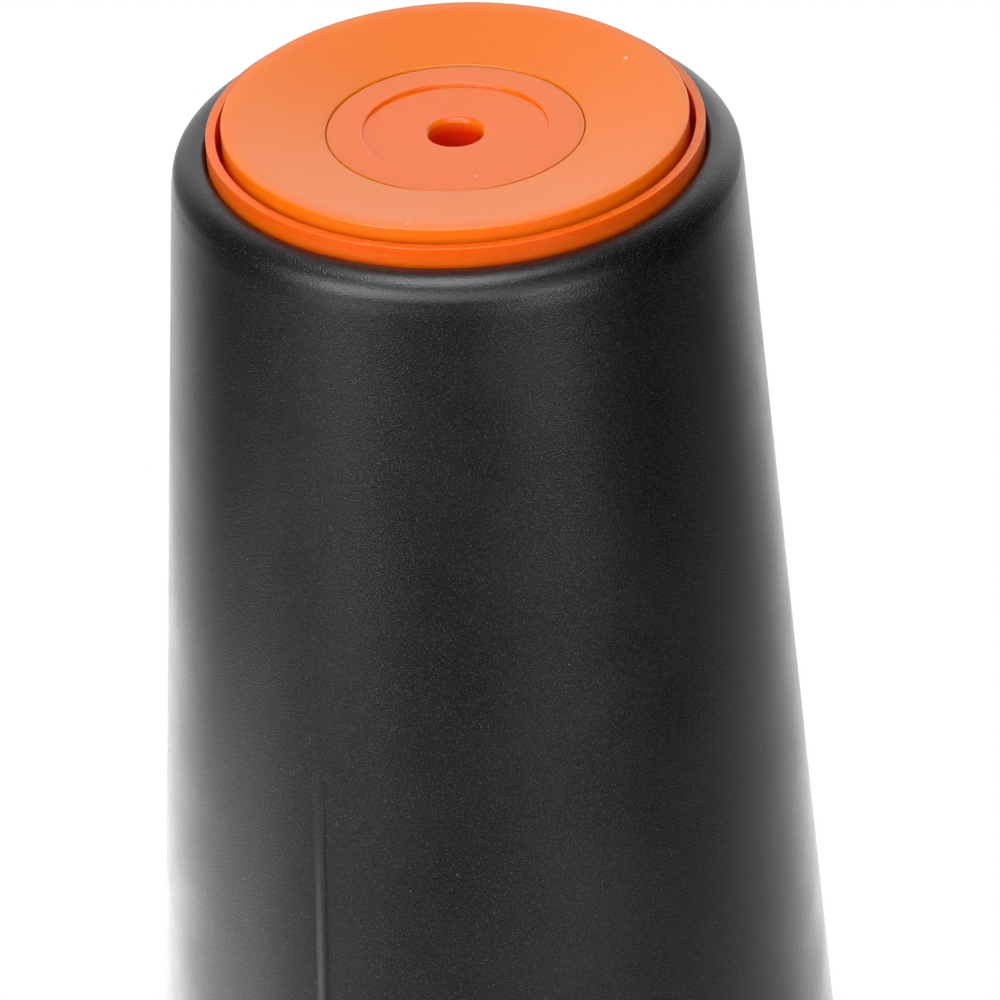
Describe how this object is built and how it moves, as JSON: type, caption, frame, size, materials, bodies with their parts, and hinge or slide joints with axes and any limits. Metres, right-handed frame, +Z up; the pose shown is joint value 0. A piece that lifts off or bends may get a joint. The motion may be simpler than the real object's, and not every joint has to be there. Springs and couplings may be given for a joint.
{
  "type": "dust blower bulb",
  "caption": "Hand-squeezed rubber dust blower with a dished orange inlet-valve foot, one-way valves and a fine pull-off nozzle.",
  "frame": {"origin": "centre of the foot ring, in the plane that the blower stands on", "axes": "+Z up the bulb's axis from the inlet foot to the nozzle; the squeeze walls face +X and -X, the mould parting ridges +Y and -Y"},
  "size_m": [0.0542, 0.0542, 0.171],
  "materials": {
    "rubber_black": "satin moulded black rubber with a fine grain",
    "plastic_orange": "translucent red-orange moulded plastic, satin gloss",
    "foot_orange": "softer translucent yellow-orange moulded plastic",
    "seal_rubber": "smooth black rubber",
    "filter_foam": "grey open-cell foam",
    "flap_silicone": "translucent silicone",
    "plastic_white": "natural white moulded plastic",
    "tip_metal": "nickel-plated, lightly brushed"
  },
  "bodies": {
    "bulb_body": {"bulb": "rubber_black", "neck_bush": "plastic_orange", "outlet_seat": "plastic_white", "outlet_cage": "plastic_white"},
    "right_wall": {"squeeze_wall_right": "rubber_black"},
    "left_wall": {"squeeze_wall_left": "rubber_black"},
    "valve_cartridge": {"valve_cup": "plastic_orange", "cup_gasket": "seal_rubber", "cup_seal": "seal_rubber", "foot_ring": "foot_orange", "inlet_cage": "plastic_white"},
    "plug": {"inlet_plug": "plastic_orange", "plug_seal": "seal_rubber", "filter_disc": "filter_foam", "filter_grid": "plastic_white"},
    "inlet_disc": {"inlet_flap": "flap_silicone"},
    "outlet_disc": {"outlet_flap": "flap_silicone"},
    "nozzle_body": {"nozzle": "plastic_orange", "nozzle_seal": "seal_rubber", "nozzle_tip": "tip_metal"}
  },
  "joints": [
    {"name": "squeeze_right", "type": "slide", "parent": "bulb_body", "child": "right_wall", "axis": [-1, 0, 0], "range_m": [0, 0.009], "stiffness_N_per_m": 2500},
    {"name": "squeeze_left", "type": "slide", "parent": "bulb_body", "child": "left_wall", "axis": [1, 0, 0], "range_m": [0, 0.009], "stiffness_N_per_m": 2500},
    {"name": "valve_pull_out", "type": "slide", "parent": "bulb_body", "child": "valve_cartridge", "axis": [0, 0, -1], "range_m": [0, 0.014]},
    {"name": "plug_pull_out", "type": "slide", "parent": "valve_cartridge", "child": "plug", "axis": [0, 0, -1], "range_m": [0, 0.01]},
    {"name": "inlet_lift", "type": "slide", "parent": "valve_cartridge", "child": "inlet_disc", "axis": [0, 0, 1], "range_m": [0, 0.0008]},
    {"name": "outlet_lift", "type": "slide", "parent": "bulb_body", "child": "outlet_disc", "axis": [0, 0, 1], "range_m": [0, 0.0007]},
    {"name": "nozzle_pull_off", "type": "slide", "parent": "bulb_body", "child": "nozzle_body", "axis": [0, 0, 1], "range_m": [0, 0.012]}
  ],
  "couplings": [
    {"joint": "squeeze_left", "follows": "squeeze_right", "ratio": 1}
  ]
}
